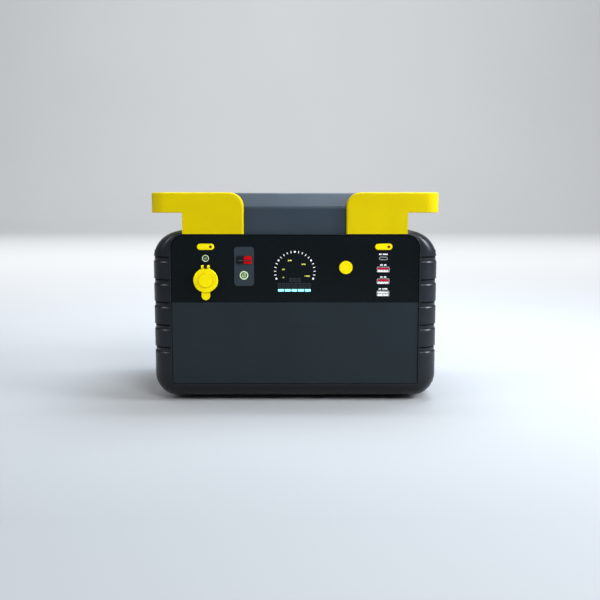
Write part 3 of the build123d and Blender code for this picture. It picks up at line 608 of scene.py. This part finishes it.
def port_contacts(material):
    """The pale sprung contacts in the lower half of each wide port."""
    for number in (1, 2, 3):
        low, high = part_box(f"usb_a_shell_{number}")
        x = (low.x + high.x) / 2
        floor = low.z + PORT_WALL
        back = PANEL_Y + CONTACT_BACK
        bm = bmesh.new()
        for tooth in range(CONTACTS):
            middle = x + (tooth - (CONTACTS - 1) / 2) * CONTACT_PITCH
            outline = rounded_bar(middle, floor + CONTACT_LEVEL, CONTACT_SIZE, CONTACT_SIZE, 0,
                                  CONTACT_CORNER)
            prism(bm, outline, PANEL_Y + CONTACT_FRONT, back)
        outline = rounded_bar(x, floor + CONTACT_BASE[1] / 2, *CONTACT_BASE, 0, CONTACT_BASE_CORNER)
        prism(bm, outline, PANEL_Y + BASE_FRONT, back)
        piece(f"usb_a_contacts_{number}", bm, material)


def display():
    # painted glow: the white ink glows weakly, also on the port marks, which are print
    white = printed("white_ink", colour(240, 242, 242), 0.3)
    lime = printed("lime_ink", colour(232, 232, 110), 0.4)
    cyan = printed("cyan_light", colour(150, 240, 244), 0.6)
    faint = printed("unlit_grey", colour(50, 58, 64), 0.0)
    dial_marks(white)
    for text, angle, radius in NUMBERS:
        dial_number(text, *on_dial(angle, radius * MM), lime)
    unlit_digits(faint)
    charge_bar(cyan)
    port_marks(white)
    port_contacts(NODES["usb_a_tongue_3"].material_slots[0].material)


# ---------------------------------------------------------------- studio
FLOOR_HALF_WIDTH = 9.0                              # all in metres
FLOOR_FRONT, FLOOR_BACK = -6.0, 7.0
BACKDROP_TOP = 6.0
BACKDROP_BEND = 2.5
BEND_STEPS = 12

WORLD_COLOUR, WORLD_STRENGTH = (0.90, 0.95, 1.0, 1), 0.17
WHITE_LIGHT = (1, 1, 1)
LIGHTS = (                                          # name, place, target, size, watts, colour
    ("overhead", (0.2, 0.28, 1.0), (0.0, 0.0, 0.12), (0.7, 0.5), 13, (0.82, 0.92, 1.05)),
    ("key", (0.45, -1.25, 1.0), (0.0, -0.1, 0.14), (0.5, 0.5), 14, (0.97, 0.99, 1.0)),
    ("fill", (-1.0, -0.7, 0.80), (0.0, -0.1, 0.14), (0.5, 0.5), 6, WHITE_LIGHT),
    ("right_side", (0.95, -0.32, 0.60), (0.13, -0.08, 0.16), (0.45, 0.45), 14, (0.90, 0.95, 1.0)),
    ("back_light", (0.0, 0.8, 3.4), (0.0, 5.8, 1.6), (6.0, 2.0), 680, WHITE_LIGHT),
)

EYE_X, EYE_DISTANCE, EYE_HEIGHT = 5.15 * MM, 0.858, 0.211
EYE_TILT = 6.845                                    # degrees below level
LENS, SENSOR = 50, 36                               # millimetres


def sweep_floor():
    """A floor that curves up into a backdrop."""
    bm = bmesh.new()
    profile = [(FLOOR_FRONT, 0.0), (FLOOR_BACK - BACKDROP_BEND, 0.0)]
    for step in range(1, BEND_STEPS + 1):
        angle = QUARTER_TURN * step / BEND_STEPS
        profile.append((FLOOR_BACK - BACKDROP_BEND + BACKDROP_BEND * sin(angle),
                        BACKDROP_BEND - BACKDROP_BEND * cos(angle)))
    profile.append((FLOOR_BACK, BACKDROP_TOP))
    left = [bm.verts.new((-FLOOR_HALF_WIDTH, y, z)) for y, z in profile]
    right = [bm.verts.new((FLOOR_HALF_WIDTH, y, z)) for y, z in profile]
    for i in range(len(profile) - 1):
        bm.faces.new((left[i], right[i], right[i + 1], left[i + 1]))
    mesh = bpy.data.meshes.new("studio_floor")
    bm.to_mesh(mesh)
    bm.free()
    mesh.shade_smooth()
    floor = bpy.data.objects.new("studio_floor", mesh)
    bpy.context.scene.collection.objects.link(floor)
    made = Surface("studio_paper", colour(162, 164, 166), 0.8, specular=0.1)
    mesh.materials.append(made.drift(900, 0.01).done())


def softbox(name, place, target, size, power, tint):
    data = bpy.data.lights.new(name, "AREA")
    data.shape = "RECTANGLE"
    data.size, data.size_y = size
    data.energy = power
    data.color = tint
    lamp = bpy.data.objects.new(name, data)
    lamp.location = place
    lamp.rotation_euler = (Vector(target) - Vector(place)).to_track_quat("-Z", "Y").to_euler()
    bpy.context.scene.collection.objects.link(lamp)


def studio():
    """Softboxes overhead, in front and to the right, a weak one on the left, a lit backdrop."""
    sweep_floor()
    world = bpy.data.worlds.new("studio_world")
    world.use_nodes = True
    background = world.node_tree.nodes["Background"]
    background.inputs["Color"].default_value = WORLD_COLOUR
    background.inputs["Strength"].default_value = WORLD_STRENGTH
    bpy.context.scene.world = world
    for light in LIGHTS:
        softbox(*light)


def camera():
    """A little below the top of the object, in front of it and tilted slightly down."""
    lens = bpy.data.cameras.new("camera")
    lens.lens = LENS
    lens.sensor_width = SENSOR
    seen = bpy.data.objects.new("camera", lens)
    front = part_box("front_shell")[0].y
    seen.location = (EYE_X, front - EYE_DISTANCE, EYE_HEIGHT)
    seen.rotation_euler = (radians(90 - EYE_TILT), 0, 0)
    bpy.context.scene.collection.objects.link(seen)
    bpy.context.scene.camera = seen


bpy.context.scene.view_settings.view_transform = "Standard"
camera()
dress_case()
dress_controls()
dress_metal()
dress_inside()
display()
studio()
